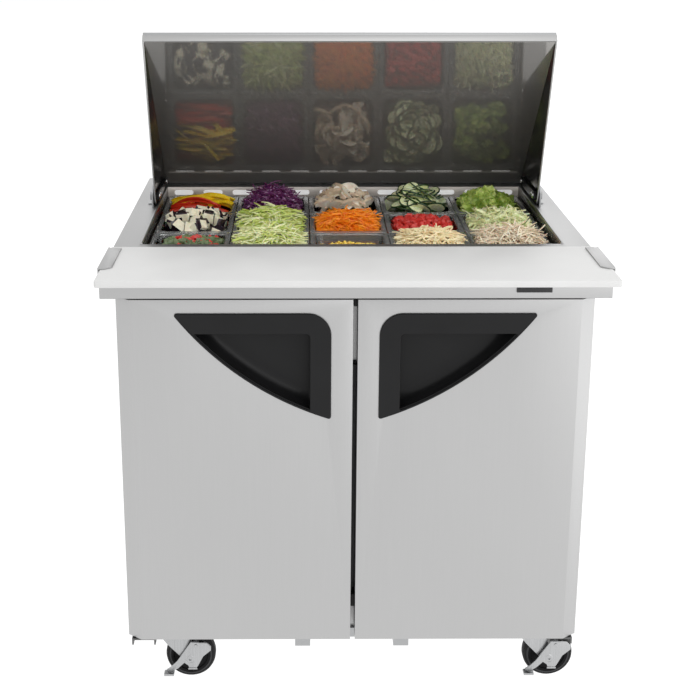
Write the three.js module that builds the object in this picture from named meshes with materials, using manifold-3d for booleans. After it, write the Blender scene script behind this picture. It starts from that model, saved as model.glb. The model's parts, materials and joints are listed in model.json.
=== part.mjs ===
// Sandwich prep table: two-door refrigerated base on casters, food pan well, tilting hood.
// Millimetres, +Z up, front of the unit towards -Y, floor at Z = 0.
import * as THREE from "three";
import { mergeVertices } from "three/addons/utils/BufferGeometryUtils.js";
import Module from "manifold-3d";

const wasm = await Module();
wasm.setup();

// ---------------------------------------------------------------- driving dimensions
const GAP = 0.3; // assembly gap between separate parts
const HALF_W = 462; // half of the overall width
const REAR_Y = 473.5; // rear edge of the worktop
const TOP_Z = 872; // worktop surface
const WORKTOP_T = 44; // worktop depth, apron included
const APRON_Y = -390; // front face of the apron
const OPEN_X = 408; // half width of the pan opening
const OPEN_Y = [-165, 370]; // front and rear edge of the pan opening
const LIP = { w: 5, h: 3 }; // raised lip at the sides of the opening

const BOARD = { x: 458.5, front: -473.5, back: -234, t: 12.7 };
const CLIP = { front: -399, back: -252, cover: 25, t: 2.2 };

const CASE = { x: 435, front: -322, back: 455, bottom: 128, top: TOP_Z - WORKTOP_T - GAP };
const CAVITY = { x: 388, back: 318, bottom: 172, top: 690 };
const WELL = { floor: 702 };
const MACHINE = { x: 400, front: 345, bottom: 165, top: 680 };

const PAN = { w: 160, d: 174, rim: 8, rimT: 4, depth: 142, wall: 2.4, taper: 7, radius: 18 };
const PAN_PITCH = [162, 176];
const PAN_TOP = TOP_Z - 21; // the pans hang a little below the worktop

const DOOR = { inner: 4.5, outer: 438, front: -376, back: -330, bottom: 130, top: 822 };
const CHAMFER = { w: 27, d: 20 };
const SKIN = 2;
const HINGE = { x: 421, y: -351, r: 4 };
const HANDLE = { inner: 44, top: 796, w: 290, h: 206, bulge: 28, corner: 43, band: 39, depth: 34 };

const SCOOP = [[4, -3.5], [6.5, 12], [11, 23], [18, 30.5], [28, HANDLE.depth]]; // (inset, depth)
const HOOD_X = 418; // outer face of the hood's side walls
const HOOD_WALL = 4;
const HOOD_T = 25; // insulated panel thickness
const RIM_Z = TOP_Z + 1.8; // level of the hood rim when shut
const HOOD_FRONT = [29, 1241]; // open pose: front edge of the inner panel, (y, z)
const HOOD_REAR = [395, 875]; // open pose: rear edge of the inner panel
const HOOD_HEEL = [165, RIM_Z]; // open pose: heel corner of the side walls
const HOOD_SHUT_Y = -200; // y of the front edge when shut
const PIN_R = 5;

const CASTER = { x: 361, front: -285, rear: 395, trail: 38, r: 50, w: 30, legGap: 19, leg: 3 };
const BASE = { bottom: 100, cross: 108, railX: [82, 112] };

// ---------------------------------------------------------------- solids
// Closed three.js geometry to a solid.
function solid(geometry) {
  const g = geometry.clone();
  g.deleteAttribute("normal");
  if (g.getAttribute("uv")) g.deleteAttribute("uv");
  const m = mergeVertices(g, 1e-4);
  return new wasm.Manifold(
    new wasm.Mesh({
      numProp: 3,
      vertProperties: new Float32Array(m.getAttribute("position").array),
      triVerts: new Uint32Array(m.index.array),
    }),
  );
}

// Solid back to a three.js geometry.
function geometryOf(body) {
  const m = body.getMesh();
  const g = new THREE.BufferGeometry();
  const count = m.vertProperties.length / m.numProp;
  const p = new Float32Array(count * 3);
  for (let i = 0; i < count; i++)
    for (let k = 0; k < 3; k++) p[3 * i + k] = m.vertProperties[m.numProp * i + k];
  g.setAttribute("position", new THREE.BufferAttribute(p, 3));
  g.setIndex([...m.triVerts]);
  g.computeVertexNormals();
  return g;
}

const join = (...s) => s.reduce((a, b) => a.add(b));
const cut = (a, ...s) => s.reduce((x, y) => x.subtract(y), a);

// Axis-aligned block from its limits.
function block(x0, x1, y0, y1, z0, z1) {
  const g = new THREE.BoxGeometry(Math.abs(x1 - x0), Math.abs(y1 - y0), Math.abs(z1 - z0));
  g.translate((x0 + x1) / 2, (y0 + y1) / 2, (z0 + z1) / 2);
  return solid(g);
}

// Prism of a polygon: axis "x" takes (y, z) points, "y" takes (x, z), "z" takes (x, y).
function prism(points, axis, from, to) {
  const lo = Math.min(from, to);
  const shape = new THREE.Shape(points.map(([a, b]) => new THREE.Vector2(a, b)));
  const g = new THREE.ExtrudeGeometry(shape, { depth: Math.abs(to - from), bevelEnabled: false });
  g.translate(0, 0, lo);
  const m = new THREE.Matrix4();
  if (axis === "x") m.set(0, 0, 1, 0, 1, 0, 0, 0, 0, 1, 0, 0, 0, 0, 0, 1);
  if (axis === "y") {
    g.translate(0, 0, -from - to);
    m.set(1, 0, 0, 0, 0, 0, -1, 0, 0, 1, 0, 0, 0, 0, 0, 1);
  }
  g.applyMatrix4(m);
  return solid(g);
}

// Round bar along an axis through a point, between two limits on that axis.
function bar(axis, a, b, r, from, to, seg = 20) {
  const g = new THREE.CylinderGeometry(r, r, Math.abs(to - from), seg);
  const mid = (from + to) / 2;
  if (axis === "x") g.rotateZ(Math.PI / 2).translate(mid, a, b);
  if (axis === "y") g.translate(a, mid, b);
  if (axis === "z") g.rotateX(Math.PI / 2).translate(a, b, mid);
  return solid(g);
}

// Rounded rectangle outline about a centre.
function roundRect(cx, cy, hw, hh, r, n = 3) {
  const pts = [];
  const corners = [[1, 1, 0], [-1, 1, 90], [-1, -1, 180], [1, -1, 270]];
  for (const [sx, sy, a0] of corners)
    for (let i = 0; i <= n; i++) {
      const a = THREE.MathUtils.degToRad(a0 + (90 * i) / n);
      pts.push([cx + sx * (hw - r) + r * Math.cos(a), cy + sy * (hh - r) + r * Math.sin(a)]);
    }
  return pts;
}

// Tapered plug between two convex outlines at two levels.
function plug(lower, z0, upper, z1, axis = "z") {
  const t = 0.01;
  return wasm.Manifold.hull([prism(lower, axis, z0, z0 + t), prism(upper, axis, z1 - t, z1)]);
}

// ---------------------------------------------------------------- scene assembly
const table = new THREE.Group();
table.name = "sandwich_prep_table";

const mat = (color, roughness, metalness, extra = {}) =>
  new THREE.MeshStandardMaterial({ color, roughness, metalness, ...extra });
const materials = {
  steel: mat(0xc4c4c3, 0.38, 0.9),
  steelDark: mat(0x9c9d9e, 0.45, 0.9),
  mirror: mat(0xbfc0c1, 0.12, 1.0),
  liner: mat(0xd9dbdc, 0.5, 0.6),
  black: mat(0x17181a, 0.42, 0.0),
  rubber: mat(0x1b1c1d, 0.8, 0.0),
  gasket: mat(0x55575a, 0.75, 0.0),
  poly: mat(0xf1f1ef, 0.55, 0.0),
  clear: mat(0xdfe6e8, 0.08, 0.0, { transparent: true, opacity: 0.35 }),
  zinc: mat(0xb4b6b8, 0.35, 0.95),
  coated: mat(0xb9bdc0, 0.5, 0.2),
  unit: mat(0x2b2d30, 0.6, 0.3),
};

function add(name, body, material, parent = table) {
  const mesh = new THREE.Mesh(geometryOf(body), materials[material]);
  mesh.name = name;
  parent.add(mesh);
  return mesh;
}

// ---------------------------------------------------------------- cabinet
{
  // Sheet shell, open at the top, with a front frame, a rear opening and a partition.
  const c = CASE;
  const t = 2.5;
  const m = MACHINE;
  let body = cut(
    block(-c.x, c.x, c.front, c.back, c.bottom, c.top),
    block(-c.x + t, c.x - t, c.front + t, c.back - t, c.bottom + t, c.top + 1),
    block(-CAVITY.x, CAVITY.x, c.front - 1, c.front + 10, CAVITY.bottom, CAVITY.top),
    block(-m.x, m.x, c.back - 10, c.back + 1, m.bottom, m.top),
  );
  body = join(
    body,
    block(-c.x + 1, c.x - 1, m.front - t, m.front, c.bottom + 1, m.top + 8),
    block(-c.x + 1, c.x - 1, m.front - t, c.back - 1, m.top + 8 - t, m.top + 8),
  );
  add("cabinet_case", body, "steel");

  // Inner liner, open at the front, with four ledges that carry the shelf.
  const x = CAVITY.x - GAP;
  const [z0, z1] = [CAVITY.bottom + GAP, CAVITY.top - GAP];
  const y0 = c.front + 1;
  const y1 = CAVITY.back - GAP;
  let liner = cut(
    block(-x, x, y0, y1, z0, z1),
    block(-x + 2, x - 2, y0 - 1, y1 - 2, z0 + 2, z1 - 2),
  );
  for (const s of [-1, 1])
    for (const y of [-220, 250])
      liner = join(liner, block(s * (x - 1), s * (x - 16), y, y + 30, 418, 430));
  add("cabinet_liner", liner, "liner");
}

// Centre post that both door gaskets close against, with its end caps.
add(
  "mullion",
  join(
    block(-24, 24, CASE.front - 0.2, -292, CAVITY.bottom + 3, CAVITY.top - 3),
    block(-3.4, 3.4, CASE.front - 12, CASE.front + 2, CAVITY.bottom + 8, CAVITY.top - 8),
  ),
  "gasket",
);

// Wire shelf.
{
  const w = 3;
  const z = 430.4;
  let s = cut(
    block(-380, 380, -270, 290, z, z + 7),
    block(-380 + 7, 380 - 7, -270 + 7, 290 - 7, z - 1, z + 8),
  );
  for (const y of [-90, 110]) s = join(s, block(-375, 375, y - w, y + w, z, z + 4));
  for (let i = 1; i < 20; i++) {
    const x = -380 + i * 38;
    s = join(s, block(x - w / 2, x + w / 2, -266, 286, z + 3, z + 6));
  }
  add("shelf", s, "coated");
}

// Machine compartment at the rear: condensing unit and louvred grille.
{
  const deck = block(-360, 360, MACHINE.front + 8, 446, CASE.bottom + 2.5 + GAP, 175);
  const shell = bar("z", -215, 396, 44, 170, 330, 24);
  const cap = bar("z", -215, 396, 34, 325, 348, 24);
  const coil = block(40, 330, 356, 404, 174, 420);
  const shroud = cut(block(50, 320, 400, 418, 180, 414), bar("y", 185, 297, 100, 403, 420, 24));
  const hub = join(
    bar("y", 185, 297, 22, 400, 432, 16),
    ...[0, 1, 2, 3].map((k) => {
      const blade = new THREE.BoxGeometry(180, 3, 16);
      blade.rotateX(0.5).rotateY((k * Math.PI) / 4).translate(185, 413, 297);
      return solid(blade);
    }),
  );
  add("condensing_unit", join(deck, shell, cap, coil, shroud, hub), "unit");

  let grille = block(-MACHINE.x + GAP, MACHINE.x - GAP, 451, 454, MACHINE.bottom + 1, MACHINE.top - 1);
  for (let i = 0; i < 14; i++)
    for (const x0 of [-360, 20])
      grille = cut(grille, block(x0, x0 + 340, 449, 456, 215 + i * 30, 227 + i * 30));
  for (const s of [-1, 1]) grille = join(grille, block(s * 399, s * 394, 440, 453, 170, 676));
  add("rear_grille", grille, "steelDark");
}

// Base frame: two lengthwise rails and two cross channels that take the casters.
{
  const top = CASE.bottom - GAP;
  let b = block(-384, 384, -330, -240, BASE.cross, top);
  b = join(b, block(-405, 405, 350, 440, BASE.cross, top));
  for (const s of [-1, 1])
    b = join(b, block(s * BASE.railX[0], s * BASE.railX[1], -350, 440, BASE.bottom, top));
  add("base_frame", b, "steelDark");
}

// ---------------------------------------------------------------- worktop, well and pans
{
  const z0 = TOP_Z - WORKTOP_T;
  let w = block(-HALF_W, HALF_W, APRON_Y, REAR_Y, z0, TOP_Z);
  // Sheet with a deep skirt and a collar round the opening, hollow from below.
  const hollow = block(-HALF_W + 2, HALF_W - 2, APRON_Y + 2, REAR_Y - 2, z0 - 1, TOP_Z - 3);
  const collar = block(-OPEN_X - 9, OPEN_X + 9, OPEN_Y[0] - 5, OPEN_Y[1] + 5, z0 - 2, TOP_Z);
  w = cut(w, cut(hollow, collar), block(-OPEN_X, OPEN_X, ...OPEN_Y, z0 - 1, TOP_Z + 1));
  for (const s of [-1, 1])
    w = join(w, block(s * OPEN_X, s * (OPEN_X + LIP.w), ...OPEN_Y, TOP_Z - 1, TOP_Z + LIP.h));
  add("worktop", w, "steel");
}
{
  const x = OPEN_X - 0.4;
  const [y0, y1] = [OPEN_Y[0] + 0.4, OPEN_Y[1] - 0.4];
  const rest = PAN_TOP - PAN.rimT - GAP;
  const body = block(-x, x, y0, y1, WELL.floor, rest);
  const hollow = block(-x + 3, x - 3, y0 + 3, y1 - 3, WELL.floor + 3, rest - 5);
  const mouth = block(-x + 9, x - 9, y0 + 9, y1 - 9, rest - 6, rest + 1);
  add("well_liner", cut(body, hollow, mouth), "liner");

  // Cross bars that carry the pan rims between the rows.
  const yc = (OPEN_Y[0] + OPEN_Y[1]) / 2;
  for (const [k, name] of [[-1, "front"], [1, "rear"]]) {
    const y = yc + (k * PAN_PITCH[1]) / 2;
    const tee = join(
      block(-x + 10, x - 10, y - 6, y + 6, rest - 2, rest),
      block(-x + 10, x - 10, y - 1.5, y + 1.5, rest - 14, rest - 1),
    );
    add(`pan_bar_${name}`, tee, "steelDark");
  }

  // Fifteen sixth-size pans, five columns by three rows.
  const hw = PAN.w / 2 - PAN.rim;
  const hd = PAN.d / 2 - PAN.rim;
  const { taper: t, radius: r, wall } = PAN;
  const zb = PAN_TOP - PAN.depth;
  const outer = plug(roundRect(0, 0, hw - t, hd - t, r), zb, roundRect(0, 0, hw, hd, r), PAN_TOP - 1);
  const rim = prism(roundRect(0, 0, PAN.w / 2, PAN.d / 2, 8), "z", PAN_TOP - PAN.rimT, PAN_TOP);
  const inner = plug(
    roundRect(0, 0, hw - t - wall, hd - t - wall, r - wall),
    zb + wall,
    roundRect(0, 0, hw - wall, hd - wall, r - wall),
    PAN_TOP + 1,
  );
  const pan = cut(join(outer, rim), inner);
  const rows = ["front", "middle", "rear"];
  rows.forEach((row, j) => {
    for (let i = 0; i < 5; i++) {
      const mesh = add(`pan_${row}_${i + 1}`, pan, "clear");
      mesh.position.set((i - 2) * PAN_PITCH[0], yc + (j - 1) * PAN_PITCH[1], 0);
    }
  });
}

// Cutting board and the two bent clips over its ends.
add(
  "cutting_board",
  prism(
    roundRect(0, (BOARD.front + BOARD.back) / 2, BOARD.x, (BOARD.back - BOARD.front) / 2, 5, 3),
    "z",
    TOP_Z + GAP,
    TOP_Z + GAP + BOARD.t,
  ),
  "poly",
);
for (const [s, side] of [[-1, "left"], [1, "right"]]) {
  const z1 = TOP_Z + GAP + BOARD.t + GAP;
  const { front, back, cover, t } = CLIP;
  const flange = prism(
    [
      [s * HALF_W, back],
      [s * HALF_W, front],
      [s * (HALF_W - cover + 12), front],
      [s * (HALF_W - cover), front + 12],
      [s * (HALF_W - cover), back],
    ],
    "z",
    z1,
    z1 + t,
  );
  const [w0, w1] = [TOP_Z + GAP, z1 + t];
  const profile = [[front, w0], [back + 52, w0], [back + 52, TOP_Z + t], [back + 22, TOP_Z + t]];
  profile.push([back + 4, w1], [front, w1]);
  const side_wall = prism(profile, "x", s * (HALF_W - t), s * HALF_W);
  const foot = block(s * (HALF_W - cover), s * HALF_W, BOARD.back + 3, back + 52, TOP_Z + GAP, TOP_Z + t);
  add(`board_clip_${side}`, join(flange, side_wall, foot), "steelDark");
}

// ---------------------------------------------------------------- hood
const heading = Math.atan2(HOOD_HEEL[1] - HOOD_FRONT[1], HOOD_HEEL[0] - HOOD_FRONT[0]);
const swing = -heading; // travel from open to shut
const shut = [HOOD_SHUT_Y, RIM_Z];
const [dy, dz] = [HOOD_FRONT[0] - shut[0], HOOD_FRONT[1] - shut[1]];
const lift = 0.5 / Math.tan(swing / 2);
const POLE = [(HOOD_FRONT[0] + shut[0]) / 2 + dz * lift, (HOOD_FRONT[1] + shut[1]) / 2 - dy * lift];

const q = Math.SQRT1_2;
const out = ([y, z], d) => [y + q * d, z + q * d];
{
  const [T, P] = [HOOD_FRONT, HOOD_REAR];
  // The heel is rounded about the hinge axis, so that it clears the worktop as the hood turns.
  const [heelR, heelA] = [POLE[1] - RIM_Z, heading - Math.PI / 2];
  const heel = [0, 1, 2, 3, 4].map((i) => {
    const a = heelA + ((-Math.PI / 2 - heelA) * i) / 4;
    return [POLE[0] + heelR * Math.cos(a), POLE[1] + heelR * Math.sin(a)];
  });
  const along = ([y, z], d) => [y + q * d, z - q * d];
  const panel = [out(T, 1.6), out(P, 1.6), out(P, HOOD_T), out(T, HOOD_T)];
  const wall = [T, ...heel, P, out(P, HOOD_T), out(T, HOOD_T)];
  const [Tc, Pc] = [along(T, 3), along(P, -3)];
  const core = [out(Tc, 0), out(Pc, 0), out(Pc, HOOD_T - 2.5), out(Tc, HOOD_T - 2.5)];
  let shell = cut(prism(panel, "x", -HOOD_X + 1, HOOD_X - 1), prism(core, "x", -HOOD_X + 6, HOOD_X - 6));
  for (const s of [-1, 1]) shell = join(shell, prism(wall, "x", s * (HOOD_X - HOOD_WALL), s * HOOD_X));
  for (const s of [-1, 1]) {
    const bore = bar("x", ...POLE, PIN_R + 0.06, s * (HOOD_X - 9), s * (HOOD_X + 9));
    shell = cut(shell, bore);
  }
  add("hood_shell", shell, "steel");

  const a = HOOD_X - HOOD_WALL - GAP;
  const edge = ([y, z], d) => [y + q * d, z - q * d];
  const sheet = [edge(T, 1), edge(P, -1), out(edge(P, -1), 1.3), out(edge(T, 1), 1.3)];
  add("hood_lining", prism(sheet, "x", -a, a), "mirror");

  for (const [s, side] of [[-1, "left"], [1, "right"]]) {
    const [y0, y1] = [POLE[0] - 12, POLE[0] + 180];
    const z0 = POLE[1] - 9;
    const outline = [
      [y0, z0 + 4], [y0 + 5, z0], [y1 - 4, z0 + 2], [y1, z0 + 6],
      [y1 - 4, z0 + 14], [y0 + 26, z0 + 20], [y0 + 4, z0 + 20], [y0, z0 + 16],
    ];
    const arm = cut(
      prism(outline, "x", s * (a - 0.2), s * (a - 6)),
      bar("x", ...POLE, PIN_R + 0.06, s * (a - 9), s * (a + 3)),
    );
    add(`hood_arm_${side}`, arm, "black");
  }
}

// Fixed cheeks with the hinge pins, and the cowl that the rear of the hood turns inside.
{
  const reach = Math.hypot(out(HOOD_REAR, HOOD_T)[0] - POLE[0], out(HOOD_REAR, HOOD_T)[1] - POLE[1]);
  const r0 = reach + 4;
  const base = TOP_Z + GAP;
  const start = Math.asin((base - POLE[1]) / r0);
  const end = THREE.MathUtils.degToRad(74);
  const at = (r, a) => [POLE[0] + r * Math.cos(a), POLE[1] + r * Math.sin(a)];
  const arc = (r, n, a0 = start) =>
    Array.from({ length: n + 1 }, (_, i) => at(r, a0 + ((end - a0) * i) / n));
  const n = 14;
  const inner = arc(r0, n);
  const outerArc = arc(r0 + 2.5, n, Math.asin((base - POLE[1]) / (r0 + 2.5)));
  const cowl = prism([...inner, ...outerArc.reverse()], "x", -HOOD_X - 1.7, HOOD_X + 1.7);
  const flange = block(-HOOD_X - 1.7, HOOD_X + 1.7, inner[0][0] + 1, REAR_Y - 6, base, base + 2);
  add("hood_cowl", join(cowl, flange), "steel");

  for (const [s, side] of [[-1, "left"], [1, "right"]]) {
    const rim = arc(r0 + 2.5, n, Math.asin((base - POLE[1]) / (r0 + 2.5)));
    const outline = [
      [POLE[0] - 22, base],
      ...rim,
      [POLE[0] + 60, POLE[1] + 190],
      [POLE[0] + 14, POLE[1] + 26],
      [POLE[0] - 14, POLE[1] + 22],
      [POLE[0] - 22, POLE[1] + 10],
    ];
    const plate = prism(outline, "x", s * (HOOD_X + 2), s * (HOOD_X + 5));
    const foot = block(s * (HOOD_X + 2), s * (HOOD_X + 16), POLE[0] + 8, rim[0][0], base, base + 2);
    const a = HOOD_X - HOOD_WALL - 6.5;
    const pin = bar("x", ...POLE, PIN_R, s * (a + 0.4), s * (HOOD_X + 6));
    const head = bar("x", ...POLE, 9, s * (HOOD_X + 4), s * (HOOD_X + 10), 6);
    add(`hood_cheek_${side}`, join(plate, foot, pin, head), "steelDark");
  }
}

// ---------------------------------------------------------------- doors
// Handle outline in (distance from the inner edge, depth below the top), inset by d, tips rounded.
function handleOutline(d, bandX = 0, bandZ = 0, tip = 4) {
  const { w, h, bulge, corner } = HANDLE;
  const chord = Math.hypot(w, h);
  const R = (chord * chord / 4 + bulge * bulge) / (2 * bulge);
  const k = (R - bulge) / chord;
  const c = [w / 2 - h * k, h / 2 - w * k];
  const r = R - d;
  const [x0, z0] = [d + bandX, d + bandZ];
  const endA = [c[0] + Math.sqrt((r - tip) ** 2 - (z0 + tip - c[1]) ** 2), z0 + tip];
  const endB = [x0 + tip, c[1] + Math.sqrt((r - tip) ** 2 - (x0 + tip - c[0]) ** 2)];
  const a0 = Math.atan2(endA[1] - c[1], endA[0] - c[0]);
  const a1 = Math.atan2(endB[1] - c[1], endB[0] - c[0]);
  const sweep = (centre, radius, from, to, n) =>
    Array.from({ length: n + 1 }, (_, i) => {
      const a = from + ((to - from) * i) / n;
      return [centre[0] + radius * Math.cos(a), centre[1] + radius * Math.sin(a)];
    });
  const cr = Math.max(6, corner - d - bandX);
  return [
    ...sweep(endA, tip, -Math.PI / 2, a0, 4),
    ...sweep(c, r, a0, a1, 12).slice(1, -1),
    ...sweep(endB, tip, a1, Math.PI, 4),
    ...sweep([x0 + cr, z0 + cr], cr, Math.PI, 1.5 * Math.PI, 6),
  ];
}

for (const [s, side] of [[-1, "left"], [1, "right"]]) {
  const d = DOOR;
  const onDoor = (pts) => pts.map(([u, v]) => [s * (HANDLE.inner + u), HANDLE.top - v]);
  const footprint = (o, back) => [
    [s * (d.inner + o), back],
    [s * (d.inner + o), d.front + o],
    [s * (d.outer - CHAMFER.w - o * 0.4), d.front + o],
    [s * (d.outer - o), d.front + CHAMFER.d + o * 0.4],
    [s * (d.outer - o), back],
  ];
  const hole = prism(onDoor(handleOutline(5.5)), "y", d.front - 2, d.front + 40);
  let skin = cut(
    prism(footprint(0, d.back), "z", d.bottom, d.top),
    prism(footprint(SKIN, d.back + 1), "z", d.bottom + SKIN, d.top - SKIN),
    hole,
    bar("z", s * HINGE.x, HINGE.y, HINGE.r + 0.06, d.bottom - 1, d.top + 1),
  );
  // Lower outer corner is drawn in a little below the chamfer.
  const foot = [[d.outer - 12, d.bottom - 1], [d.outer + 1, d.bottom - 1], [d.outer + 1, d.bottom + 9]];
  skin = cut(skin, prism(foot.map(([x, z]) => [s * x, z]), "y", d.front - 1, HINGE.y - 12));
  add(`door_${side}_skin`, skin, "steel");

  // Inner liner: flat edge with a raised dish that enters the cabinet mouth.
  const [xa, xb] = [d.inner + SKIN + GAP, d.outer - SKIN - GAP];
  const [za, zb] = [d.bottom + SKIN + GAP, d.top - SKIN - GAP];
  const dish = [s * (xa + 30), s * (CAVITY.x - 10)];
  const rise = [za + 50, CAVITY.top - 12];
  let liner = join(
    block(s * xa, s * xb, d.back - 2.5, d.back + 1.2, za, zb),
    block(...dish, d.back - 2, d.back + 10, ...rise),
  );
  const back = block(dish[0] + s * 3, dish[1] - s * 3, d.back - 9, d.back + 7, rise[0] + 3, rise[1] - 3);
  liner = cut(liner, back);
  add(`door_${side}_liner`, liner, "liner");

  const gy = [d.back + 1.5, CASE.front - 0.6];
  const gasket = cut(
    block(s * (d.inner + 6), s * (HINGE.x + 1), ...gy, za + 4, 700),
    block(s * (d.inner + 22), s * (HINGE.x - 15), gy[0] - 1, gy[1] + 1, za + 22, 684),
  );
  add(`door_${side}_gasket`, gasket, "gasket");

  // Recessed pull: proud flange, cup behind it, scooped hollow.
  const flange = prism(onDoor(handleOutline(0)), "y", d.front - 3.4, d.front - GAP);
  const cup = prism(onDoor(handleOutline(6)), "y", d.front - 1, d.front + HANDLE.depth + 4);
  const rings = SCOOP.map(([inset, depth]) =>
    onDoor(handleOutline(inset, HANDLE.band - inset, HANDLE.band - inset, 1.5)).map(
      ([x, z]) => [x, d.front + depth, z],
    ),
  );
  const scoop = wasm.Manifold.hull(rings.flat());
  add(`door_${side}_handle`, cut(join(flange, cup), scoop), "black");

  // Hinge brackets: lower plate with a down-turned tab, upper plate under the worktop.
  const lower = join(
    block(s * 385, s * 431, -368, -296, 124, CASE.bottom - GAP),
    block(s * 385, s * 388, -368, -340, 114, 125),
    block(s * 428, s * 431, -368, -340, 114, 125),
    bar("z", s * HINGE.x, HINGE.y, HINGE.r, 126, d.bottom + 12),
    bar("z", s * HINGE.x, HINGE.y, 8, 126, d.bottom - 0.8),
  );
  add(`hinge_lower_${side}`, lower, "steelDark");
  const upper = join(
    block(s * 385, s * 431, -366, CASE.front - 0.4, d.top + 1, TOP_Z - WORKTOP_T - GAP),
    block(s * 385, s * 402, CASE.front - 3.4, CASE.front - 0.4, 790, d.top + 2),
    bar("z", s * HINGE.x, HINGE.y, HINGE.r, d.top - 12, d.top + 2),
  );
  add(`hinge_upper_${side}`, upper, "steelDark");
}

// ---------------------------------------------------------------- casters
function caster(x, y, name, brake) {
  const pivot = new THREE.Group();
  pivot.position.set(x, y, 0);
  table.add(pivot);
  const { trail, r, w, legGap, leg } = CASTER;
  const race = bar("z", 0, 0, 29, 97, BASE.cross - GAP, 24);
  const crown = prism(
    [[-26, 92], [trail + 16, 88], [trail + 22, 101.5], [-24, 101.5]],
    "y", -legGap - leg, legGap + leg,
  );
  const relief = bar("y", trail, r, r + 3, -legGap, legGap, 24);
  let fork = cut(join(race, crown), relief);
  for (const s of [-1, 1]) {
    const side = [
      [-20, 94], [-8, 78], [trail - 15, 45], [trail - 8, 36], [trail + 8, 36], [trail + 15, 45],
      [trail + 18, 94],
    ];
    fork = join(fork, prism(side, "y", s * legGap, s * (legGap + leg)));
  }
  fork = join(
    fork,
    bar("y", trail, r, 6, -legGap - leg - 1, legGap + leg + 1, 16),
    bar("y", trail, r, 10, -legGap - leg - 6, -legGap - leg + 0.5, 6),
    bar("y", trail, r, 10, legGap + leg - 0.5, legGap + leg + 6, 6),
  );
  add(`caster_${name}_fork`, fork, "zinc", pivot);

  const tread = new THREE.LatheGeometry(
    [
      [6.06, -w / 2 - 2], [16, -w / 2 - 2], [18, -w / 2 + 1], [34, -w / 2 + 3], [37, -w / 2],
      [r - 4, -w / 2], [r, -w / 2 + 5], [r, w / 2 - 5], [r - 4, w / 2], [37, w / 2],
      [34, w / 2 - 3], [18, w / 2 - 1], [16, w / 2 + 2], [6.06, w / 2 + 2], [6.06, -w / 2 - 2],
    ].map(([a, b]) => new THREE.Vector2(a, b)),
    28,
  );
  const wheel = new THREE.Mesh(geometryOf(solid(tread)), materials.rubber);
  wheel.name = `caster_${name}_wheel`;
  wheel.position.set(trail, 0, r);
  pivot.add(wheel);

  if (brake) {
    // Stamped pedal lever in front of the axle bolt, hinged high on the outer fork leg.
    const y1 = -legGap - leg - 6.6;
    const arm = [
      [80, 78], [72, 86], [40, 88], [24, 64], [12, 46], [0, 33], [-10, 26], [-8, 21], [2, 22],
      [14, 30], [26, 42], [34, 36], [36, 30], [50, 30], [54, 36], [58, 44], [64, 56], [80, 70],
    ];
    const pedal = block(-14, 6, y1 - 17, y1, 20, 24.5);
    const toe = block(34, 52, y1 - 5, y1, 28, 31);
    const stud = bar("y", 50, 80, 4, y1 - 5, y1 + 6, 12);
    add(`caster_${name}_brake`, join(prism(arm, "y", y1 - 3, y1), pedal, toe, stud), "zinc", pivot);
  }
}
for (const [s, side] of [[-1, "left"], [1, "right"]]) {
  caster(s * CASTER.x, CASTER.front, `front_${side}`, true);
  caster(s * CASTER.x, CASTER.rear, `rear_${side}`, false);
}

export default table;
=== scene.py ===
import json
import math
import random

import bmesh
import bpy
from mathutils import Matrix, Vector, noise


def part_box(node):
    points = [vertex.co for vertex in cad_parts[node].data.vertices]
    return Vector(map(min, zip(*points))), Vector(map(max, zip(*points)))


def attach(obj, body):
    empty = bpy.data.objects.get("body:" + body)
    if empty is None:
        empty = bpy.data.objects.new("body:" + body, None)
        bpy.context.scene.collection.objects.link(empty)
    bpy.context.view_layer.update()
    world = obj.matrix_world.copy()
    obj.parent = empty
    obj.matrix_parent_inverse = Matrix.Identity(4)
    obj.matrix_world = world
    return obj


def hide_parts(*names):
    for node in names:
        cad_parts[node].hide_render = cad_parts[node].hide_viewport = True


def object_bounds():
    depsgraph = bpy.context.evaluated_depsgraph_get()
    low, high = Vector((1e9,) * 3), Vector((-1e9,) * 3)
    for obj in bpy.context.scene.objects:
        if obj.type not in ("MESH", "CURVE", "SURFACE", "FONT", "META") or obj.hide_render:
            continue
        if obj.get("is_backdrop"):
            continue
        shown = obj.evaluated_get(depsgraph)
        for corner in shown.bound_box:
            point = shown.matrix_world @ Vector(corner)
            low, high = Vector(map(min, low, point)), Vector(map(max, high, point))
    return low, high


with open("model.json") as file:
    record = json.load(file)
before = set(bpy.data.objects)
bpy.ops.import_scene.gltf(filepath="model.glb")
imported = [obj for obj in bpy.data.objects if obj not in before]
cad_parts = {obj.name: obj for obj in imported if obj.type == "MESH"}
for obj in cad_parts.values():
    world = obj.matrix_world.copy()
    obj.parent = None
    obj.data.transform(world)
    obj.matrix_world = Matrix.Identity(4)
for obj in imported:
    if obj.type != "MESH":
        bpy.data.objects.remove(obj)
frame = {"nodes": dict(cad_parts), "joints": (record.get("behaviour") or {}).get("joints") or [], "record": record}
CAD_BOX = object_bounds()
NODES = frame["nodes"]
SIDES = ((-1, "left"), (1, "right"))


# ---------------------------------------------------------------- camera, light, stage
# Camera that shows the unit as the photo does: millimetres for the lens, then metres and radians.
LENS = 69.8
LENS_SHIFT = (0.061, -0.09)
CAMERA_AT = (-0.0997, -2.728, 1.530)
TILT_DOWN = 0.283
TURN = -0.005

# The surroundings and the floor grow brighter towards +X: spans of direction and of place, and gains.
SKY_SPAN, SKY_GAIN = (0.1, 1.0), (1.01, 1.5)
FLOOR_SPAN, FLOOR_GAIN = (0.3, 3.0), (1.0, 1.5)


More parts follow.
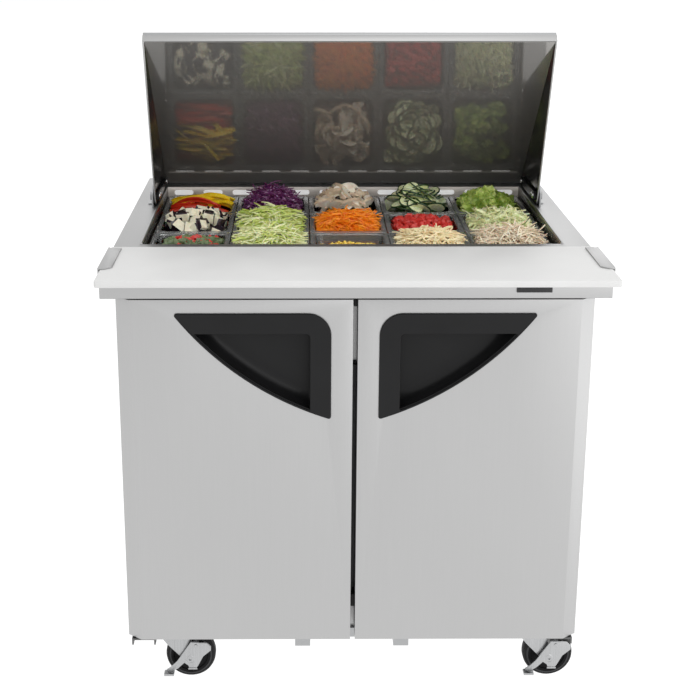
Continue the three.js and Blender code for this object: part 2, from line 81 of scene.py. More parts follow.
def make_camera():
    data = bpy.data.cameras.new("camera")
    data.sensor_width = 36
    data.lens = LENS
    data.shift_x, data.shift_y = LENS_SHIFT
    cam = bpy.data.objects.new("camera", data)
    cam.location = CAMERA_AT
    cam.rotation_euler = (math.pi / 2 - TILT_DOWN, 0, TURN)
    bpy.context.scene.collection.objects.link(cam)
    bpy.context.scene.camera = cam


def area_light(name, place, target, size, energy):
    data = bpy.data.lights.new(name, "AREA")
    data.shape = "RECTANGLE"
    data.size, data.size_y = size
    data.energy = energy
    obj = bpy.data.objects.new(name, data)
    obj.location = place
    aim = Vector(target) - Vector(place)
    obj.rotation_euler = aim.to_track_quat("-Z", "Y").to_euler()
    bpy.context.scene.collection.objects.link(obj)


def map_range(tree, source, span, result):
    """Maps the span of a value to another range."""
    node = tree.nodes.new("ShaderNodeMapRange")
    for key, value in zip(("From Min", "From Max", "To Min", "To Max"), (*span, *result)):
        node.inputs[key].default_value = value
    tree.links.new(source, node.inputs["Value"])
    return node.outputs["Result"]


def make_world():
    """White studio that never falls below white."""
    world = bpy.data.worlds.new("world")
    bpy.context.scene.world = world
    world.use_nodes = True
    sky = world.node_tree
    direction = sky.nodes.new("ShaderNodeTexCoord").outputs["Generated"]
    split = sky.nodes.new("ShaderNodeSeparateXYZ")
    sky.links.new(direction, split.inputs[0])
    background = sky.nodes["Background"]
    sky.links.new(map_range(sky, split.outputs["X"], SKY_SPAN, SKY_GAIN), background.inputs["Strength"])
    background.inputs["Color"].default_value = (1, 1, 1, 1)


make_camera()
bpy.context.scene.view_settings.view_transform = "Standard"
area_light("key", (1.9, -3.0, 1.7), (0, 0, 0.6), (1.8, 1.8), 12)
area_light("top", (0.2, -0.9, 3.2), (0, 0, 0.8), (2.2, 1.6), 8)
area_light("back", (0.4, 3.4, 2.4), (0, 0, 0.7), (2.4, 1.8), 8)
make_world()


# ---------------------------------------------------------------- materials
class Mat:
    """A node material built step by step around one Principled BSDF."""

    def __init__(self, name, **sockets):
        self.material = bpy.data.materials.new(name)
        self.material.use_nodes = True
        self.tree = self.material.node_tree
        self.shader = self.tree.nodes["Principled BSDF"]
        self.coord = self.tree.nodes.new("ShaderNodeTexCoord").outputs["Object"]
        for k, v in sockets.items():
            self.shader.inputs[k.replace("_", " ")].default_value = v

    def node(self, kind, **props):
        n = self.tree.nodes.new(kind)
        for k, v in props.items():
            if k.startswith("in_"):
                n.inputs[k[3:]].default_value = v
            else:
                setattr(n, k, v)
        return n

    def link(self, a, b):
        self.tree.links.new(a, b)

    def stretched(self, scale):
        n = self.node("ShaderNodeMapping")
        n.inputs["Scale"].default_value = scale
        self.link(self.coord, n.inputs["Vector"])
        return n.outputs["Vector"]

    def noise(self, scale, detail=3.0, rough=0.5, vector=None):
        n = self.node("ShaderNodeTexNoise")
        n.inputs["Scale"].default_value = scale
        n.inputs["Detail"].default_value = detail
        n.inputs["Roughness"].default_value = rough
        self.link(vector or self.coord, n.inputs["Vector"])
        return n.outputs["Fac"]

    def ramp(self, fac, stops):
        n = self.node("ShaderNodeValToRGB")
        e = n.color_ramp.elements
        while len(e) < len(stops):
            e.new(0.5)
        for el, (pos, col) in zip(e, stops):
            el.position = pos
            el.color = (*col, 1) if len(col) == 3 else col
        self.link(fac, n.inputs["Fac"])
        return n.outputs["Color"]

    def spread(self, fac, lo, hi):
        return map_range(self.tree, fac, (0.25, 0.75), (lo, hi))

    def bump(self, fac, strength, distance=0.001):
        n = self.node("ShaderNodeBump")
        n.inputs["Strength"].default_value = strength
        n.inputs["Distance"].default_value = distance
        self.link(fac, n.inputs["Height"])
        self.link(n.outputs["Normal"], self.shader.inputs["Normal"])

    def color(self, out):
        self.link(out, self.shader.inputs["Base Color"])

    def rough(self, out):
        self.link(out, self.shader.inputs["Roughness"])


GRAIN = {"Z": (900, 900, 9), "X": (9, 900, 900), "Y": (900, 9, 900)}


def tint(color, factor):
    return [min(1, c * factor) for c in color]


def shades(*colors, at=(0.3, 0.7)):
    """Colour stops of a ramp."""
    return list(zip(at, colors))


def steel(name, tone, lo, hi, grain="Z", bump=0.05, smear=0.02, metallic=1.0):
    """Brushed stainless: fine streaks along one axis, faint clouding."""
    m = Mat(name, Metallic=metallic)
    streak = m.noise(1.0, 2.0, 0.6, m.stretched(GRAIN[grain]))
    cloud = m.noise(3.2, 3.0, 0.55)
    mix = m.node("ShaderNodeMath", operation="MULTIPLY_ADD")
    mix.inputs[1].default_value = 0.35
    m.link(cloud, mix.inputs[0])
    m.link(streak, mix.inputs[2])
    m.color(m.ramp(mix.outputs[0], shades(tint(tone, 1 - smear), tint(tone, 1 + smear), at=(0.35, 0.95))))
    m.rough(m.spread(mix.outputs[0], lo, hi))
    m.bump(streak, bump, 0.0002)
    return m.material


def plastic(name, base, lo, hi, scale=900, bump=0.12, var=0.12, **sockets):
    """Fine-grained plastic, enamel or rubber with slow changes in tone and gloss."""
    m = Mat(name, **sockets)
    grain = m.noise(scale, 2.0)
    cloud = m.noise(14, 3.0)
    m.color(m.ramp(cloud, shades(tint(base, 1 - var), tint(base, 1 + var), at=(0.3, 0.75))))
    m.rough(m.spread(cloud, lo, hi))
    m.bump(grain, bump, 0.0003)
    return m.material


def clear(name, transmission, dark, light, lo, hi, scale, bump_scale, bump):
    """Clear moulded plastic, a little uneven."""
    m = Mat(name, IOR=1.45)
    m.shader.inputs["Transmission Weight"].default_value = transmission
    cloud = m.noise(scale, 3.0)
    m.color(m.ramp(cloud, shades(dark, light)))
    m.rough(m.spread(cloud, lo, hi))
    m.bump(m.noise(bump_scale, 2.0), bump, 0.0005)
    return m.material


LOOK = {}
LOOK["steel"] = steel("stainless", (0.465, 0.465, 0.465), 0.30, 0.38)
LOOK["steel_x"] = steel("stainless_cross", (0.44, 0.44, 0.44), 0.30, 0.40, grain="X")
LOOK["hood"] = steel("hood_stainless", (0.44, 0.44, 0.438), 0.30, 0.40, grain="X")
LOOK["steel_dark"] = steel("stainless_trim", (0.40, 0.405, 0.41), 0.28, 0.40, bump=0.08)
LOOK["lining"] = steel(
    "polished_lining", (0.305, 0.297, 0.285), 0.032, 0.062, grain="X", bump=0.02, smear=0.05, metallic=0.62,
)
# Painted shade: a dark copy of the hood steel for the inner faces of its side walls.
LOOK["hood_side"] = steel("hood_side_lining", (0.16, 0.16, 0.158), 0.12, 0.2, grain="Z", bump=0.02)
LOOK["clip"] = steel("clip_stainless", (0.43, 0.43, 0.43), 0.28, 0.38, grain="Y")
# Painted shade: a dark copy of the steel for the walls of the well, its liner and the pan bars.
LOOK["well_dark"] = steel("well_side_painted_shade", (0.13, 0.125, 0.12), 0.16, 0.28, grain="Y", bump=0.03, smear=0.05)
LOOK["bracket"] = steel("bracket_steel", (0.14, 0.14, 0.14), 0.3, 0.42, bump=0.08)
# Painted light: a lighter, warmer, less metallic copy of the steel for the well's front-facing rear wall.
LOOK["well_wall"] = steel(
    "well_rear_painted_light", (0.66, 0.61, 0.56), 0.24, 0.36, grain="X", bump=0.03, smear=0.05, metallic=0.3,
)
LOOK["liner"] = steel("stucco_liner", (0.60, 0.61, 0.615), 0.42, 0.55, bump=0.25)
LOOK["zinc"] = steel("zinc_plate", (0.43, 0.435, 0.44), 0.18, 0.32, bump=0.08, smear=0.14)
LOOK["bolt"] = steel("bright_bolt", (0.72, 0.72, 0.72), 0.08, 0.18, bump=0.02)
LOW = {"Specular_IOR_Level": 0.2}
LOOK["black"] = plastic("moulded_black", (0.009, 0.009, 0.0095), 0.30, 0.40, 1400, 0.12, **LOW)
LOOK["black_metal"] = plastic("black_enamel", (0.009, 0.009, 0.010), 0.22, 0.34, 700, 0.06, **LOW)
LOOK["unit"] = plastic("machine_enamel", (0.02, 0.021, 0.024), 0.4, 0.6, 500, 0.12, **LOW)
LOOK["gasket"] = plastic("gasket_rubber", (0.09, 0.092, 0.095), 0.55, 0.7, 800, 0.12, **LOW)
LOOK["rubber"] = plastic("wheel_rubber", (0.010, 0.010, 0.0105), 0.5, 0.65, 600, 0.25, **LOW)
LOOK["tread_ring"] = plastic("wheel_ring", (0.045, 0.046, 0.048), 0.45, 0.6, 600, 0.2, **LOW)
LOOK["hub"] = plastic("hub_black", (0.006, 0.006, 0.0065), 0.40, 0.55, 600, 0.2, Specular_IOR_Level=0.12)
LOOK["poly"] = plastic("board_white", (0.635, 0.635, 0.63), 0.42, 0.52, 500, 0.10, 0.02, **LOW)
LOOK["coated"] = plastic("coated_wire", (0.75, 0.77, 0.78), 0.35, 0.5, 700, 0.1, 0.05)
LOOK["badge"] = plastic("black_gloss", (0.01, 0.01, 0.011), 0.12, 0.2, 500, 0.02)
LOOK["clear"] = clear(
    "clear_polycarbonate", 1.0, (0.93, 0.95, 0.955), (0.975, 0.985, 0.99), 0.03, 0.08, 18, 160, 0.02,
)
# Thicker moulded rim of the same plastic, a little frosted by wear.
LOOK["rim"] = clear("clear_rim", 0.88, (0.80, 0.82, 0.82), (0.90, 0.92, 0.92), 0.06, 0.16, 24, 120, 0.04)
# White outlets with a painted glow: the emission makes them as bright as a reflection of light would.
LOOK["frost"] = plastic(
    "outlet_white_painted_glow", (0.95, 0.95, 0.95), 0.15, 0.25, 300, 0.04, 0.03,
    Emission_Color=(1, 1, 1, 1), Emission_Strength=0.3,
)


# ---------------------------------------------------------------- mesh helpers
def put(name, shape, mats, body, angle=35):
    """Makes a smooth-shaded piece from a bmesh or a mesh, on a body."""
    if isinstance(shape, bmesh.types.BMesh):
        data = bpy.data.meshes.new(name)
        shape.to_mesh(data)
        shape.free()
    else:
        data = shape
    obj = bpy.data.objects.new(name, data)
    bpy.context.scene.collection.objects.link(obj)
    for m in mats if isinstance(mats, (list, tuple)) else [mats]:
        data.materials.append(m)
    data.polygons.foreach_set("use_smooth", [True] * len(data.polygons))
    data.set_sharp_from_angle(angle=math.radians(angle))
    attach(obj, body)
    return obj


def coat(node, mat):
    obj = NODES[node]
    obj.data.materials.clear()
    obj.data.materials.append(mat)


def body_of(node):
    for body, nodes in frame["record"]["behaviour"]["bodies"].items():
        if node in nodes:
            return body


def slot_of(node):
    for s in frame["record"]["subparts"]:
        if s["node"] == node:
            return s["material_slot"]


def refine(node, mat, width=0.0012, segs=2, limit=30):
    """A finer copy of a CAD node: flat faces cleaned up and every real edge rounded."""
    bm = bmesh.new()
    bm.from_mesh(NODES[node].data)
    bmesh.ops.remove_doubles(bm, verts=bm.verts, dist=1e-6)
    bmesh.ops.dissolve_limit(bm, angle_limit=math.radians(1.0), verts=bm.verts, edges=bm.edges)
    edges = [e for e in bm.edges if e.is_manifold and e.calc_face_angle(0) > math.radians(limit)]
    bmesh.ops.bevel(
        bm, geom=edges, offset=width, offset_type="OFFSET", segments=segs,
        profile=0.5, affect="EDGES", clamp_overlap=True,
    )
    bmesh.ops.triangulate(bm, faces=[f for f in bm.faces if len(f.verts) > 4])
    for v in bm.verts:
        if not v.link_faces:
            bm.verts.remove(v)
    obj = put(node + "_fine", bm, mat, body_of(node), angle=40)
    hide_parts(node)
    return obj


# Simple node materials first: every CAD node gets one.
SLOT_LOOKS = {
    "stainless": "steel", "stainless_trim": "steel_dark", "polished_lining": "lining",
    "inner_liner": "liner", "handle_plastic": "black", "black_metal": "black_metal",
    "gasket": "gasket", "board_plastic": "poly", "clear_plastic": "clear", "zinc": "zinc",
    "wheel_rubber": "rubber", "coated_wire": "coated", "machine_parts": "unit",
}
for node in NODES:
    coat(node, LOOK[SLOT_LOOKS[slot_of(node)]])
# The liner and the pan bars in the well get the dark steel: painted shade.
for node in ("well_liner", "pan_bar_front", "pan_bar_rear"):
    coat(node, LOOK["well_dark"])
for _, side in SIDES:
    coat(f"hinge_lower_{side}", LOOK["bracket"])

# ---------------------------------------------------------------- recessed pulls
# Millimetres, as in the part's source.
PULL = {"inner": 44, "top": 796, "front": -376, "w": 290, "h": 206, "bulge": 28, "corner": 43, "band": 39}
BAND = PULL["band"]
# The scoop's wall from its floor to the flange: (inset of the curve, depth behind the door's face).
SCOOP = (
    (30, 34.0), (28, 34.0), (24, 33.5), (20, 32.2), (16.5, 30), (13.4, 27), (10.8, 23),
    (8.6, 18), (6.8, 12), (5.4, 6), (4.5, 1), (4.0, -1.8),
)
# From the scoop's floor over the flange to the back: (inset of the curve, inset of the straight sides,
# radius of the two tips, depth behind the door's face).
PULL_RINGS = [(inset, BAND, 1.6, depth) for inset, depth in SCOOP]
PULL_RINGS += [
    (3.6, BAND - 0.4, 1.9, -2.8), (3.0, BAND - 1.0, 2.3, -3.3),
    (2.6, BAND - 1.4, 2.6, -3.4), (2.3, BAND - 1.7, 2.8, -3.4),
    (1.9, 1.9, 3.0, -3.4), (1.5, 1.5, 3.2, -3.4), (0.7, 0.7, 3.6, -3.1),
    (0.2, 0.2, 3.9, -2.4), (0, 0, 4.0, -1.5), (0, 0, 4.0, -0.3),
    (6, 6, 3.0, -0.3), (6, 6, 3.0, 37.2), (6.8, 6.8, 2.6, 38.0),
]


def arc(centre, radius, start, end, steps):
    """Points of an arc between two angles."""
    angles = [start + (end - start) * i / steps for i in range(steps + 1)]
    return [(centre[0] + radius * math.cos(a), centre[1] + radius * math.sin(a)) for a in angles]


def pull_outline(inset, edge, tip):
    """Three-cornered outline: one bulging side, two straight ones, a round corner and two tips."""
    w, h, bulge = PULL["w"], PULL["h"], PULL["bulge"]
    chord = math.hypot(w, h)
    big = (chord * chord / 4 + bulge * bulge) / (2 * bulge)
    k = (big - bulge) / chord
    cx, cz = w / 2 - h * k, h / 2 - w * k
    r = big - inset
    end_a = (cx + math.sqrt((r - tip) ** 2 - (edge + tip - cz) ** 2), edge + tip)
    end_b = (edge + tip, cz + math.sqrt((r - tip) ** 2 - (edge + tip - cx) ** 2))
    a0 = math.atan2(end_a[1] - cz, end_a[0] - cx)
    a1 = math.atan2(end_b[1] - cz, end_b[0] - cx)
    corner = max(7, PULL["corner"] - edge)
    return (
        arc(end_a, tip, -math.pi / 2, a0, 6)
        + arc((cx, cz), r, a0, a1, 40)[1:-1]
        + arc(end_b, tip, a1, math.pi, 6)
        + arc((edge + corner, edge + corner), corner, math.pi, 1.5 * math.pi, 12)
    )


def skin_rings(bm, rings):
    """Faces between rings of vertices, and a cap at each end."""
    for ring, following in zip(rings, rings[1:]):
        for i in range(len(ring)):
            j = (i + 1) % len(ring)
            bm.faces.new((ring[i], ring[j], following[j], following[i]))
    bm.faces.new(rings[0][::-1])
    bm.faces.new(rings[-1])
    bmesh.ops.recalc_face_normals(bm, faces=bm.faces)


def make_pull(s, side):
    """Proud flange with a rounded edge, and a scoop whose long wall curves into a flat floor."""
    bm = bmesh.new()
    rings = []
    for inset, edge, tip, depth in PULL_RINGS:
        y = (PULL["front"] + depth) / 1000
        rings.append([
            bm.verts.new((s * (PULL["inner"] + u) / 1000, y, (PULL["top"] - v) / 1000))
            for u, v in pull_outline(inset, edge, tip)
        ])
    skin_rings(bm, rings)
    node = f"door_{side}_handle"
    obj = put(node + "_fine", bm, LOOK["black"], body_of(node), angle=50)
    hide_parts(node)


for s, side in SIDES:
    make_pull(s, side)

# ---------------------------------------------------------------- rounded edges on the pieces that show
# Just outside the pan opening: faces of the worktop within this box are the walls of the well.
WELL_X, WELL_FRONT, WELL_REAR, WELL_TOP = 0.409, -0.166, 0.371, 0.8713
PAN_RIM = 0.0045
ROWS = ("front", "middle", "rear")


def refine_worktop():
    """Brushed outside; in the opening, walls darkened with painted shade and a rear wall lightened with painted
    light.
    """
    worktop = refine("worktop", [LOOK["steel_x"], LOOK["well_dark"], LOOK["well_wall"]], 0.0012)
    for poly in worktop.data.polygons:
        c = poly.center
        if abs(c.x) < WELL_X and WELL_FRONT < c.y < WELL_REAR and c.z < WELL_TOP:
            poly.material_index = 2 if poly.normal.y < -0.9 else 1


def refine_hood():
    """The inner faces of the side walls get painted shade: a darker steel than the panel."""
    hood = refine("hood_shell", [LOOK["hood"], LOOK["hood_side"]], 0.0012)
    for poly in hood.data.polygons:
        inward = poly.normal.x * poly.center.x < 0 and abs(poly.normal.x) > 0.9
        poly.material_index = 1 if inward and abs(poly.center.x) > 0.3 else 0


def refine_pan(row, i):
    pan = refine(f"pan_{row}_{i}", [LOOK["clear"], LOOK["rim"]], 0.001, 2)
    top = max(v.co.z for v in pan.data.vertices)
    for poly in pan.data.polygons:
        poly.material_index = 1 if poly.center.z > top - PAN_RIM else 0


refine_worktop()
refine("cutting_board", LOOK["poly"], 0.0025, 3)
refine_hood()
for _, side in SIDES:
    refine(f"door_{side}_skin", LOOK["steel"], 0.0022, 3, 20)
    refine(f"board_clip_{side}", LOOK["clip"], 0.0006)
for row in ROWS:
    for i in range(1, 6):
        refine_pan(row, i)


# ---------------------------------------------------------------- food
class Pile:
    """Collects many small closed shapes into one mesh."""

    def __init__(self):
        self.verts, self.faces, self.looks = [], [], []

    def add(self, verts, faces, mat):
        """Adds a shape; mat is one look, or one for each face."""
        k = len(self.verts)
        self.verts.extend(verts)
        if isinstance(mat, int):
            mat = [mat] * len(faces)
        self.faces.extend([tuple(i + k for i in f) for f in faces])
        self.looks.extend(mat)

    def done(self, name, mats, body):
        data = bpy.data.meshes.new(name)
        data.from_pydata(self.verts, [], self.faces)
        obj = put(name, data, mats, body, angle=40)
        data.polygons.foreach_set("material_index", self.looks)
        return obj


def heading(rng, spread):
    """Random direction in plan, with a small random tilt."""
    a = rng.uniform(0, 2 * math.pi)
    return Vector((math.cos(a), math.sin(a), rng.gauss(0, spread))).normalized()


def ribbon(pan, at, length, width, thick, bend, twist, segs, mat, along, sag):
    """A strip that tapers at its ends, bent, twisted and sagging."""
    rng = pan.rng
    n = along.cross(Vector((0, 0, 1)))
    n = n.normalized() if n.length > 1e-3 else Vector((1, 0, 0))
    up = n.cross(along).normalized()
    roll = Matrix.Rotation(rng.uniform(-1.2, 1.2), 3, along)
    n, up = roll @ n, roll @ up
    b1, b2 = rng.uniform(-bend, bend), rng.uniform(-bend, bend) * 0.5
    verts = []
    for i in range(segs + 1):
        u = i / segs - 0.5
        arch = 0.25 - u * u
        c = at + along * (u * length) + n * (b1 * length * arch) + up * (b2 * length * arch)
        c = c + Vector((0, 0, -sag * length * u * u * 2))
        r = Matrix.Rotation(twist * u, 3, along)
        w, h = r @ n * (width / 2), r @ up * (thick / 2)
        k = 1 - 0.45 * (abs(u) * 2) ** 6
        verts += [tuple(c + w * k + h), tuple(c - w * k + h), tuple(c - w * k - h), tuple(c + w * k - h)]
    faces = [(3, 2, 1, 0)]
    for i in range(segs):
        a, b = 4 * i, 4 * i + 4
        for j in range(4):
            q = (j + 1) % 4
            faces.append((a + j, a + q, b + q, b + j))
    e = 4 * segs
    faces.append((e, e + 1, e + 2, e + 3))
    pan.pile.add(verts, faces, mat)


def chunk(pan, at, size, soft, mats=(0, 0)):
    """A cut cube with knocked-in corners; two opposite sides can have another look, such as skin."""
    rng = pan.rng
    bm = bmesh.new()
    bmesh.ops.create_cube(bm, size=1)
    bmesh.ops.bevel(bm, geom=bm.edges[:], offset=soft, segments=1, affect="EDGES", profile=0.5)
    rot = Matrix.Rotation(rng.uniform(0, 6.28), 3, heading(rng, 0.8))
    sc = Vector((size * rng.uniform(0.8, 1.2), size * rng.uniform(0.8, 1.2), size * rng.uniform(0.7, 1.1)))
    for v in bm.verts:
        w = 1 + 0.12 * noise.noise(v.co * 3 + Vector((at.x * 90, at.y * 90, at.z * 70)))
        v.co = rot @ Vector((v.co.x * sc.x * w, v.co.y * sc.y * w, v.co.z * sc.z * w)) + at
    bm.normal_update()
    side = rot @ Vector((0, 0, 1))
    verts = [tuple(v.co) for v in bm.verts]
    faces = [[v.index for v in f.verts] for f in bm.faces]
    tag = [mats[1] if abs(f.normal.dot(side)) > 0.6 else mats[0] for f in bm.faces]
    bm.free()
    pan.pile.add(verts, faces, tag)


def tumble(rng, tilt, sway):
    """Random turn in plan after a given tilt and a small random sway."""
    return (Matrix.Rotation(rng.uniform(0, 6.28), 3, "Z") @ Matrix.Rotation(tilt, 3, "X")
            @ Matrix.Rotation(rng.uniform(-sway, sway), 3, "Y"))


def slice_disc(pan, at, radius, thick, tilt):
    """A round slice: rind (0) round the edge, flesh (1), and a paler seed core (2)."""
    n = 20
    rot = tumble(pan.rng, tilt, 0.3)
    verts, faces, tag = [], [], []
    rings = [(0.55, 1), (0.89, 1), (1.0, 0.6), (1.0, -0.6), (0.89, -1), (0.55, -1)]
    for r, h in rings:
        for i in range(n):
            a = 2 * math.pi * i / n
            k = radius * r * (1 + 0.02 * math.sin(3 * a + at.x * 200))
            verts.append(tuple(rot @ Vector((k * math.cos(a), k * math.sin(a), h * thick / 2)) + at))
    for j in range(len(rings) - 1):
        for i in range(n):
            q = (i + 1) % n
            faces.append((j * n + i, (j + 1) * n + i, (j + 1) * n + q, j * n + q))
            tag.append(1 if j in (0, 4) else 0)
    top = len(verts)
    verts.append(tuple(rot @ Vector((0, 0, thick / 2)) + at))
    verts.append(tuple(rot @ Vector((0, 0, -thick / 2)) + at))
    last = (len(rings) - 1) * n
    for i in range(n):
        q = (i + 1) % n
        faces += [(i, q, top), (last + q, last + i, top + 1)]
        tag += [2, 2]
    pan.pile.add(verts, faces, tag)


# Half of a mushroom's outline, from the gills' outer end to the foot of the stem.
GILLS_AND_STEM = [(0.86, -0.06), (0.55, 0.10), (0.26, 0.02), (0.24, -0.5), (0.12, -0.66)]


def mushroom(pan, at, size, tilt):
    """A lengthwise slice: flesh (0), skin (1) round the cap and the stem, gills (2) under the cap."""
    cap = [(math.cos(a) * 1.0, 0.12 + math.sin(a) * 0.78) for a in [math.pi * i / 10 for i in range(11)]]
    outline = cap + [(-x, y) for x, y in GILLS_AND_STEM] + GILLS_AND_STEM[::-1]
    rot = tumble(pan.rng, tilt, 0.5)
    th = size * 0.14
    n = len(outline)
    verts = []
    for h in (-th, th):
        for x, y in outline:
            verts.append(tuple(rot @ Vector((x * size, y * size, h + 0.10 * size * x * x)) + at))
    verts.append(tuple(rot @ Vector((0, 0.25 * size, -th)) + at))
    verts.append(tuple(rot @ Vector((0, 0.25 * size, th)) + at))
    faces, tag = [], []
    for i in range(n):
        q = (i + 1) % n
        faces += [(q, i, 2 * n), (n + i, n + q, 2 * n + 1), (i, q, n + q, n + i)]
        tag += [0, 0, 2 if i >= 11 and i not in (14, 15, 16) else 1]
    pan.pile.add(verts, faces, tag)


def lump(pan, at, size, mat, sub, rough, freq, flat):
    """A ball with a bumpy outside."""
    rng = pan.rng
    bm = bmesh.new()
    bmesh.ops.create_icosphere(bm, subdivisions=sub, radius=1)
    rot = Matrix.Rotation(rng.uniform(0, 6.28), 3, heading(rng, 0.6))
    off = Vector((rng.uniform(0, 50), rng.uniform(0, 50), rng.uniform(0, 50)))
    verts = []
    for v in bm.verts:
        w = 1 + rough * noise.noise(v.co * freq + off)
        c = Vector((v.co.x * w, v.co.y * w * 0.9, v.co.z * w * flat))
        verts.append(tuple(rot @ c * size + at))
    faces = [[v.index for v in f.verts] for f in bm.faces]
    bm.free()
    pan.pile.add(verts, faces, mat)


PAN_WALL = 0.0125  # from the rim's outer edge to the inside of the wall


class Pan:
    """Inside of one pan, and the heap of food that fills it."""

    def __init__(self, name, level, crown, seed, lean=0.0, power=2.4):
        self.name = name
        lo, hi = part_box("pan_" + name)
        self.c = Vector(((lo.x + hi.x) / 2, (lo.y + hi.y) / 2, hi.z))
        self.hx = (hi.x - lo.x) / 2 - PAN_WALL
        self.hy = (hi.y - lo.y) / 2 - PAN_WALL
        self.level, self.crown, self.lean, self.power = level, crown, lean, power
        self.rng = random.Random(seed)
        self.pile = Pile()

    def top(self, x, y):
        """Height of the heap above a point given from the pan's centre."""
        u, v = min(1, abs(x) / self.hx), min(1, abs(y) / self.hy)
        hump = (1 - u ** self.power) * (1 - v ** self.power)
        wave = 0.004 * noise.noise(Vector((x * 40 + self.c.x * 9, y * 40, self.c.y * 7)))
        return self.c.z + self.level + self.crown * hump + self.lean * y / self.hy + wave

    def spot(self, reach, over=0.0):
        """Random point on the heap, raised by over."""
        x = self.rng.uniform(-1, 1) * self.hx * reach
        y = self.rng.uniform(-1, 1) * self.hy * reach
        return Vector((self.c.x + x, self.c.y + y, self.top(x, y) + over))

    def spots(self, count, reach, low, high):
        """Random points on the heap, each raised by a random height."""
        for _ in range(count):
            yield self.spot(reach, self.rng.uniform(low, high))

    def bed(self, mat=0):
        """Closed body of food under the loose pieces."""
        n, drop, depth = 16, 0.006, 0.045
        verts, faces = [], []
        for j in range(n + 1):
            for i in range(n + 1):
                x = (2 * i / n - 1) * self.hx * 0.955
                y = (2 * j / n - 1) * self.hy * 0.955
                r = 0.003 * noise.noise(Vector((x * 120, y * 120, self.c.x * 31)))
                verts.append((self.c.x + x, self.c.y + y, self.top(x, y) - drop + r))
        m = n + 1
        for j in range(n):
            for i in range(n):
                a = j * m + i
                faces.append((a, a + 1, a + m + 1, a + m))
        rim = [i for i in range(m)] + [j * m + n for j in range(1, m)]
        rim += [n * m + i for i in range(n - 1, -1, -1)] + [j * m for j in range(n - 1, 0, -1)]
        k = len(verts)
        z = self.c.z + self.level - depth
        for i in rim:
            x, y, _ = verts[i]
            verts.append((self.c.x + (x - self.c.x) * 0.97, self.c.y + (y - self.c.y) * 0.97, z))
        for a in range(len(rim)):
            b = (a + 1) % len(rim)
            faces.append((rim[b], rim[a], k + a, k + b))
        faces.append(tuple(k + a for a in range(len(rim)))[::-1])
        self.pile.add(verts, faces, mat)

    def shreds(self, count, length, width, thick, bend, twist, spread, mat=0, sag=0.12, segs=5):
        """Loose strips; mat is one look, or several to choose from."""
        for at in self.spots(count, 0.84, -0.004, 0.004):
            look = mat if isinstance(mat, int) else self.rng.choice(mat)
            size = [self.rng.uniform(*span) for span in (length, width, thick)]
            along = heading(self.rng, spread)
            ribbon(self, at, *size, bend, twist, segs, look, along, sag)

    def done(self, mats):
        keep_inside(self)
        return self.pile.done("food_" + self.name, mats, "body_pan_" + self.name)


# The pan's wall leans in by LEAN over LEAN_HEIGHT.
LEAN, LEAN_HEIGHT = 0.0072, 0.150


def front_cap(y):
    """Plane that keeps the food clear of the shut hood with the pan lifted."""
    return 0.8600 + 0.45 * (y + 0.15)


def rear_cap(y):
    """Plane that keeps the food clear of the open hood with the pan lifted."""
    return 1.2090 - y


def keep_inside(pan):
    """Pulls points that would cross the pan wall or its neighbours back over the pan."""
    out = []
    for x, y, z in pan.pile.verts:
        above = z - pan.c.z
        room = 0.0 if above < 0.001 else min(0.010, above * 1.2)
        shrink = max(0.0, -above) / LEAN_HEIGHT * LEAN
        hx, hy = pan.hx + room - shrink, pan.hy + room - shrink
        dx = max(-hx, min(hx, x - pan.c.x))
        dy = max(-hy, min(hy, y - pan.c.y))
        y = pan.c.y + dy
        if pan.name.startswith("front"):
            z = min(z, front_cap(y))
        if pan.name.startswith("rear"):
            z = min(z, rear_cap(y))
        out.append((pan.c.x + dx, y, z))
    pan.pile.verts = out


def food(name, *colors, at=(0.3, 0.7), scale=60, rough=(0.35, 0.55), bump=0.2):
    """Slightly translucent look with patches of the given colours."""
    m = Mat(name)
    m.color(m.ramp(m.noise(scale, 4.0, 0.6), shades(*colors, at=at)))
    m.rough(m.spread(m.noise(scale * 2), *rough))
    m.shader.inputs["Subsurface Weight"].default_value = 0.15
    m.shader.inputs["Subsurface Scale"].default_value = 0.004
    m.bump(m.noise(400, 2.0), bump, 0.0006)
    return m.material


